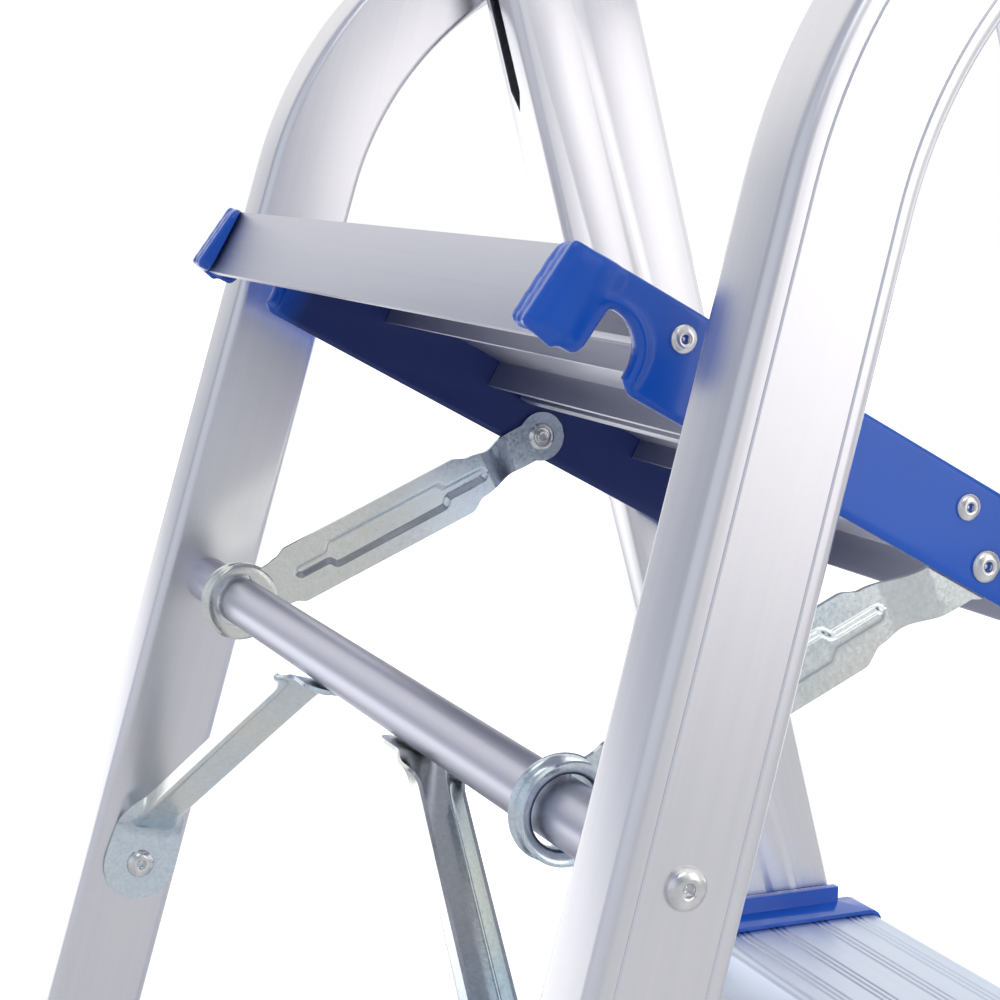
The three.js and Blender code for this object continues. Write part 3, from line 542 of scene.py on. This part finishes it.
# ------------------------------------------------------------------ links
def between(points, z):
    """The value at z on a smooth curve through (z, value) points."""
    if z <= points[0][0]:
        return points[0][1]
    for (z0, a), (z1, b) in zip(points, points[1:]):
        if z <= z1:
            t = (z - z0) / (z1 - z0)
            t = t * t * (3 - 2 * t)
            return a + (b - a) * t
    return points[-1][1]


def ease(t):
    t = min(max(t, 0), 1)
    return t * t * (3 - 2 * t)


LINK_T = 2 * MM
LINK_BOSS_R = 12.5 * MM
BOSS_STEP = 8.6 * MM  # sideways joggle from the arm to the boss
BEAD_H = 1.7 * MM


def link_arm():
    """Pressed strip: shouldered outline, stepped stiffening bead, joggle and round boss."""
    end = link_length
    edge_up = [(a * MM, b * MM) for a, b in [(8, 10), (17, 10.5), (23, 11.6), (29, 14)]]
    edge_down = [(a * MM, b * MM) for a, b in [(8, 10), (17, 11.5), (23, 12.4), (29, 15)]]
    for edge, wide in ((edge_up, 14 * MM), (edge_down, 15.5 * MM)):
        edge += [(end - 52 * MM, wide), (end - 43 * MM, 11 * MM), (end - 30 * MM, 9 * MM),
                 (end - 14 * MM, 10 * MM)]
    bead = [(28, 0), (31, 3.6), (46, 3.6), (50, 7.4)]
    bead = [(a * MM, b * MM) for a, b in bead]
    bead += [(end - 64 * MM, 7.4 * MM), (end - 60 * MM, 3.8 * MM), (end - 40 * MM, 3.8 * MM),
             (end - 37 * MM, 0)]
    across, rows = 64, 170
    rings = []
    for k in range(rows + 1):
        z = 8 * MM + (end + LINK_BOSS_R - 8 * MM) * k / rows
        boss = math.sqrt(max(LINK_BOSS_R ** 2 - (z - end) ** 2, 0))
        up = boss if z > end else max(between(edge_up, z), boss)
        down = boss if z > end else max(between(edge_down, z), boss)
        shift = BOSS_STEP * ease((z - end + 36 * MM) / (16 * MM))
        half_bead = between(bead, z)
        face, back = [], []
        for i in range(across + 1):
            y = -down + (up + down) * i / across
            rise = BEAD_H * ease((half_bead - abs(y)) / (2.8 * MM))
            x = LINK_HALF - LINK_T + shift + rise
            face.append((x, y, z))
            back.append((x + LINK_T, y, z))
        rings.append(face + back[::-1])
    return from_rings("link_arm", rings)


def link_collar():
    """Pressed collar round the tube: flange with a rolled edge, throat and flared lip."""
    base = LINK_HALF - LINK_T
    loop = [(0, 12.7), (-0.2, 16.8), (0.2, 17.9), (1.1, 18.4), (2.0, 17.9), (2.4, 16.6),
            (2.9, 15.1), (4.4, 14.3), (6.2, 14.5), (7.4, 15.7), (8.3, 17.2), (9.3, 17.7),
            (10.2, 17.2), (10.3, 16.0), (9.2, 14.3), (8.0, 13.1), (6.4, 12.6), (3.0, 12.5)]
    profile = [(base + x * MM, r * MM) for x, r in loop]
    return turned_x("link_collar", profile + profile[:1], 72)


def link_eyelet():
    """The rolled tail of the link rivet, with a hollow centre."""
    x = PLATFORM_HALF - 3 * MM - 0.4 * MM - LINK_T
    loop = [(0.2, 0), (0.2, 6.6), (-0.4, 6.9), (-1.2, 6.3), (-1.6, 5.4), (-1.2, 4.7),
            (-0.3, 4.4), (-0.2, 3.4), (-1.9, 3.3), (-2.6, 2.8), (-2.4, 2.0), (-1.2, 1.7),
            (-1.2, 0)]
    profile = [(x + a * MM, r * MM) for a, r in loop]
    return turned_x("link_eyelet", profile, 40)


def links():
    for word, side in SIDES:
        body = f"{word}_link"
        arm = mirrored(joined("link", link_arm(), link_collar()), side)
        piece(f"pressed_link_{word}", arm, body, ZINC, [f"link_{word}"], LINK,
              crease=50)
        tail = mirrored(link_eyelet(), side)
        piece(f"rolled_eyelet_{word}", tail, body, STEEL,
              [f"link_eyelet_{word}"], LINK @ Matrix.Translation((0, 0, link_length)), crease=50)


# ------------------------------------------------------------------ braces
BRACE_ALONG = -145 * MM
BRACE_TAB = 49 * MM
BRACE_T = 1.6 * MM
PAD_R = 18 * MM
PAD_SHIFT = -3 * MM


def rounded_route(corners, r, count=8):
    """Points along a route through corners, each turned with a short curve."""
    route = [corners[0]]
    for before, corner, after in zip(corners, corners[1:], corners[2:]):
        a = (before - corner).normalized()
        b = (after - corner).normalized()
        cut = r / math.tan(a.angle(b) / 2)
        p, q = corner + a * cut, corner + b * cut
        for i in range(count + 1):
            t = i / count
            route.append(p * (1 - t) ** 2 + corner * 2 * t * (1 - t) + q * t * t)
    route.append(corners[-1])
    return route


def resampled(route, step):
    """The same route with its points an even step apart."""
    points, distance = [route[0]], 0.0
    carry = 0.0
    for a, b in zip(route, route[1:]):
        length = (b - a).length
        along = step - carry
        while along <= length:
            points.append(a + (b - a) * (along / length))
            along += step
        carry = length - (along - step)
    points.append(route[-1])
    return points


def brace_mesh():
    """A folded channel: flat round pad, flanges that rise and fade, flat tab at the tube."""
    wall = REAR_HALF - BRACE_ALONG * math.tan(FLARE) - 0.6 * MM - BRACE_T / 2
    under = -TUBE_R - 0.3 * MM - BRACE_T / 2
    corners = [Vector((wall, BRACE_ALONG - PAD_R)), Vector((wall, BRACE_ALONG + PAD_R)),
               Vector((BRACE_TAB + 15 * MM, under)), Vector((BRACE_TAB - 12 * MM, under))]
    line = resampled(rounded_route(corners, 9 * MM), 2.2 * MM)
    total = sum((b - a).length for a, b in zip(line, line[1:]))
    fold = 6.2 * MM
    rings, done = [], 0.0
    for i, point in enumerate(line):
        if i:
            done += (point - line[i - 1]).length
        tangent = (line[min(i + 1, len(line) - 1)] - line[max(i - 1, 0)]).normalized()
        normal = Vector((tangent.y, -tangent.x))
        from_end = total - done
        reach = 15 * MM
        if done < PAD_R:
            reach = math.sqrt(max(PAD_R ** 2 - (PAD_R - done) ** 2, (0.5 * MM) ** 2))
        elif done < 3 * PAD_R:
            reach = PAD_R + (reach - PAD_R) * ease((done - PAD_R) / (2 * PAD_R))
        tab = 10 * MM
        reach += (tab - reach) * ease((44 * MM - from_end) / (20 * MM))
        if from_end < tab:
            reach = math.sqrt(max(tab ** 2 - (tab - from_end) ** 2, (0.5 * MM) ** 2))
        angle = math.radians(84) * ease((done - 1.7 * PAD_R) / (30 * MM))
        angle *= ease((from_end - 24 * MM) / (26 * MM))
        count = 26
        profile, y, drop = [(0.0, 0.0)], 0.0, 0.0
        for k in range(count):
            e = reach * (k + 0.5) / count
            turn = angle * ease((e - fold) / (3.2 * MM))
            y += reach / count * math.cos(turn)
            drop += reach / count * math.sin(turn)
            profile.append((y, drop))
        full = [(-a, b) for a, b in profile[:0:-1]] + profile
        face, back = [], []
        for k, (a, b) in enumerate(full):
            after, before = full[min(k + 1, len(full) - 1)], full[max(k - 1, 0)]
            along = Vector((after[0] - before[0], after[1] - before[1])).normalized()
            for skin, offset in ((face, BRACE_T / 2), (back, -BRACE_T / 2)):
                aa, bb = a - along.y * offset, b + along.x * offset
                place = point + normal * bb
                skin.append((place.x, PAD_SHIFT * (1 - ease(done / total)) + aa, place.y))
        rings.append(face + back[::-1])
    return from_rings("brace", rings)


def braces():
    for word, side in SIDES:
        mesh = mirrored(brace_mesh(), side)
        piece(f"folded_brace_{word}", mesh, "rear_frame", ZINC,
              [f"brace_{word}"], REAR, crease=50)
        rivet(f"brace_rivet_{word}", "rear_frame", -side)
        seat = (side * BRACE_TAB, 0, -TUBE_R - 0.3 * MM - BRACE_T)
        head = rivet_head("tab_rivet", 5 * MM, 2.1 * MM)
        piece(f"domed_brace_tab_rivet_{word}", head, "rear_frame", STEEL,
              [f"brace_tab_rivet_{word}"],
              REAR @ Matrix.Translation(seat) @ Matrix.Rotation(math.pi / 2, 4, "Y"), crease=50)


# ------------------------------------------------------------------ platform
def bracket_outline():
    hx, hy = HOOK
    low = -BRACKET_DEPTH
    px, py = PLATFORM_PIN
    outline = [(-4.6 * MM, 0.4 * MM), (-8.5 * MM, low + 4 * MM)]
    outline += [(hx - HOOK_R - 2.4 * MM, low + 1 * MM)]
    outline += [(hx - HOOK_R + 0.2 * MM, low + 5 * MM)]
    outline += arc((hx, hy), HOOK_R, 180, 0, 22)
    outline += [(hx + HOOK_R, low + 3 * MM), (hx + HOOK_R + 4 * MM, low)]
    outline += [(px - 24 * MM, low)] + arc((px, py), 14 * MM, 215, 330, 12)
    outline += [(PLATFORM_END, py), (PLATFORM_END, -4 * MM),
                (PLATFORM_END - 4 * MM, 0.4 * MM)]
    return outline


def hook_wrap():
    """The bracket's end round the plank: a rounded upright corner with one fine groove."""
    rings = []
    levels = [(-32.2, 2.6), (-31.4, 1.5), (-30.2, 0.6), (-28.6, 0)]
    levels += [(-26 + 2.4 * i, 0) for i in range(10)] + [(-1.6, 0.5), (-0.4, 1.4), (0.4, 2.6)]
    for level, inset in levels:
        lean = -4.6 - 3.9 * (0.4 - level) / 31.4
        outer = [(lean, 177.5 + inset), (lean, 180.6), (lean + 0.9, 181.6), (lean, 182.6)]
        for i in range(13):
            a = math.radians(180 - 90 * i / 12)
            outer.append((lean + 8 + 8 * math.cos(a), 183.2 + 8 * math.sin(a)))
        outer += [(lean + 13, 192.0), (lean + 18, 191.6), (lean + 23, 190)]
        inner = [(lean + 23, 187), (lean + 12, 187), (lean + 6, 186.8), (-1.2, 184),
                 (-1.2, 177.5 + inset)]
        ring = []
        centre = (lean + 8, 184)
        for s, x in outer + inner:
            ds, dx = s - centre[0], x - centre[1]
            d = math.hypot(ds, dx)
            k = max(d - inset * 0.8, 0) / d
            ring.append(((centre[1] + dx * k) * MM, -(centre[0] + ds * k) * MM, level * MM))
        rings.append(ring)
    return from_rings("hook_wrap", rings)


def notch_rim():
    """A thick rounded edge that follows the hook notch."""
    hx, hy = HOOK
    path = [(hx - HOOK_R - 2.6 * MM, hy - 5.5 * MM)]
    path += arc((hx, hy), HOOK_R + 2.6 * MM, 180, 0, 26)
    path += [(hx + HOOK_R + 2.6 * MM, hy - 5.5 * MM)]
    rings = []
    for i, (s, m) in enumerate(path):
        a, b = path[max(i - 1, 0)], path[min(i + 1, len(path) - 1)]
        along = Vector((b[0] - a[0], b[1] - a[1])).normalized()
        ring = []
        for k in range(14):
            t = 2 * math.pi * k / 14
            out = 2.6 * MM * math.cos(t)
            x = 187.3 * MM + 4.4 * MM * math.sin(t)
            ring.append((x, -(s - along.y * out), m + along.x * out))
        rings.append(ring)
    return from_rings("notch_rim", rings)


def fused(name, mesh, voxel, rounds):
    """One moulded skin over several solids: voxel remesh, then a little smoothing."""
    holder = bpy.data.objects.new(name, mesh)
    bpy.context.scene.collection.objects.link(holder)
    remesh = holder.modifiers.new("fuse", "REMESH")
    remesh.mode = "VOXEL"
    remesh.voxel_size = voxel
    soften = holder.modifiers.new("soften", "SMOOTH")
    soften.iterations = rounds
    soften.factor = 0.5
    thin = holder.modifiers.new("thin", "DECIMATE")
    thin.ratio = 0.4
    bpy.context.view_layer.update()
    made = bpy.data.meshes.new_from_object(
        holder.evaluated_get(bpy.context.evaluated_depsgraph_get()))
    bpy.data.objects.remove(holder)
    return made


def brackets():
    for word, side in SIDES:
        wall = plate("bracket_wall", bracket_outline(), 186.9 * MM, 190 * MM, 0.5 * MM)
        soft = fused("bracket", joined("bracket", wall, hook_wrap(), notch_rim()), 0.8 * MM, 16)
        piece(f"moulded_bracket_{word}", mirrored(soft, side), "platform", SHADED_BRACKET_BLUE,
              [f"bracket_{word}"], PLATFORM, crease=60)
        for place in ("rear", "front"):
            rivet(f"bracket_rivet_{place}_{word}", "platform", side)
        rivet(f"link_rivet_{word}", "platform", side)


# ------------------------------------------------------------------ the whole stool
def eased_parts():
    plank = dict(body="platform", material=PLANK, slot="platform_aluminium")
    for node in ("plank_rear", "plank_front"):
        eased(node, edge=0.4 * MM, frame_of=PLATFORM, **plank)
    for level in ("upper", "lower"):
        place = turned(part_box(f"tread_{level}")[1], TREAD_TILT)
        eased(f"tread_{level}", "front_frame", TREAD, "tread_aluminium", 0.25 * MM,
              frame_of=place)
        for word, side in SIDES:
            eased(f"tread_cap_{level}_{word}", "front_frame", BLUE, "blue_plastic", 0.6 * MM)
            rivet(f"tread_rivet_{level}_{word}", "front_frame", side)
    for word, side in SIDES:
        n = FRONT_SECTION[0]
        eased(f"front_rail_{word}", "front_frame", RAIL, "rail_aluminium", 0.35 * MM,
              frame_of=rail_frame(FRONT, side, FRONT_HALF, n))
        eased(f"front_foot_{word}", "front_frame", RUBBER, "foot_rubber", 1.0 * MM)
        eased(f"rear_foot_{word}", "rear_frame", RUBBER, "foot_rubber", 1.0 * MM)
        eased(f"front_rail_cap_{word}", "front_frame", BLUE, "blue_plastic", 0.8 * MM)
        eased(f"grab_end_cap_{word}", "rear_frame", BLUE, "blue_plastic", 0.8 * MM)
        eased(f"hinge_washer_{word}", "front_frame", BLUE, "blue_plastic", 0.2 * MM)
        eased(f"platform_spacer_{word}", "front_frame", BLUE, "blue_plastic", 0.3 * MM)
        for node, direction in ((f"hinge_pin_{word}", side), (f"platform_pin_{word}", -side)):
            rivet_with_shank(node, "front_frame", direction)
        for node in (f"tube_rivet_{word}", f"grab_rivet_{word}", f"lower_bar_rivet_{word}"):
            rivet(node, "rear_frame", side)
    eased("lower_cross_bar", "rear_frame", CROSS, "rail_aluminium", 0.3 * MM)
    round_bar("cross_tube", "rear_frame", CROSS)
    round_bar("grab_tube", "rear_frame", CROSS)


def rivet_with_shank(node, body, direction):
    """A hinge rivet that shows its shank between the parts it joins."""
    low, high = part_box(node)
    head_r = (high.z - low.z) / 2
    h = head_r * 0.42
    seat = high.x - h if direction > 0 else low.x + h
    grip = (high.x - low.x) - h
    shank = head_r * 0.45
    profile = [(-grip, 0), (-grip, shank * 0.9), (-grip + 0.4 * MM, shank), (-0.3 * MM, shank)]
    head = rivet_head("head", head_r, h)
    mesh = joined("rivet", head, turned_x("shank", profile + [(-0.3 * MM, 0)], 28))
    if direction < 0:
        mesh.transform(Matrix.Rotation(math.pi, 4, "Z"))
    place = Matrix.Translation((seat, (low.y + high.y) / 2, (low.z + high.z) / 2))
    piece("domed_" + node, mesh, body, STEEL, [node], place, crease=50)


for word, side in SIDES:
    rear_rail(word, side)
links()
braces()
brackets()
eased_parts()


# ------------------------------------------------------------------ floor, light, camera
def floor():
    bm = bmesh.new()
    bmesh.ops.create_grid(bm, x_segments=8, y_segments=8, size=14)
    mesh = bpy.data.meshes.new("floor")
    bm.to_mesh(mesh)
    bm.free()
    own = mesh.attributes.new("own_frame", "FLOAT_VECTOR", "POINT")
    for kept, vertex in zip(own.data, mesh.vertices):
        kept.vector = vertex.co
    mesh.materials.append(floor_paint())
    made = bpy.data.objects.new("floor", mesh)
    bpy.context.scene.collection.objects.link(made)


def sky():
    """A white backdrop, with a cooler, dimmer room beside and behind the viewer."""
    world = bpy.data.worlds.new("studio")
    bpy.context.scene.world = world
    world.use_nodes = True
    tree = world.node_tree
    background = tree.nodes["Background"]
    toward = Wire(tree, tree.nodes.new("ShaderNodeTexCoord").outputs["Generated"])
    x, y, z = (toward.node("ShaderNodeSeparateXYZ", None, {"Vector": toward}, output=axis)
               for axis in range(3))
    behind_viewer = y + (0.0 - x).step(-0.3, 0.3) * 0.66 - z.step(0.0, 1.0) * 0.7
    colour = toward.node("ShaderNodeValToRGB", {"ramp": (
        (0.0, (1.0, 1.0, 1.0)), (0.5, (0.32, 0.35, 0.43)), (1.0, (0.66, 0.70, 0.78)))}, {
        "Fac": behind_viewer.step(0.02, 1.0)})
    tree.links.new(colour.socket, background.inputs["Color"])
    background.inputs["Strength"].default_value = 1.0


def area(name, place, target, size, power, tint=(1, 1, 1)):
    data = bpy.data.lights.new(name, "AREA")
    data.shape = "RECTANGLE"
    data.size, data.size_y = size
    data.energy = power
    data.color = tint
    made = bpy.data.objects.new(name, data)
    bpy.context.scene.collection.objects.link(made)
    made.location = place
    aim = Vector(target) - Vector(place)
    made.rotation_euler = aim.to_track_quat("-Z", "Y").to_euler()


def camera():
    data = bpy.data.cameras.new("camera")
    data.sensor_width = 36
    data.lens = 77.31
    data.shift_x = -0.1039
    data.shift_y = -0.1323
    data.clip_end = 60
    made = bpy.data.objects.new("camera", data)
    bpy.context.scene.collection.objects.link(made)
    made.location = (-0.7983, tube.y + 0.2907, tube.z + 0.217)
    yaw, pitch = math.radians(26.31), math.radians(5.99)
    aim = Vector((math.cos(yaw) * math.cos(pitch), -math.sin(yaw) * math.cos(pitch),
                  -math.sin(pitch)))
    made.rotation_euler = aim.to_track_quat("-Z", "Y").to_euler()
    bpy.context.scene.camera = made


floor()
sky()
area("key", (-2.4, 0.2, 2.6), (0, 0, 0.8), (1.4, 1.0), 5.5)
area("warm_fill", (-1.6, -0.95, 1.0), (-0.26, 0.05, 0.9), (0.6, 1.1), 2.0, (1.0, 0.95, 0.92))
camera()
bpy.context.scene.view_settings.view_transform = "Standard"
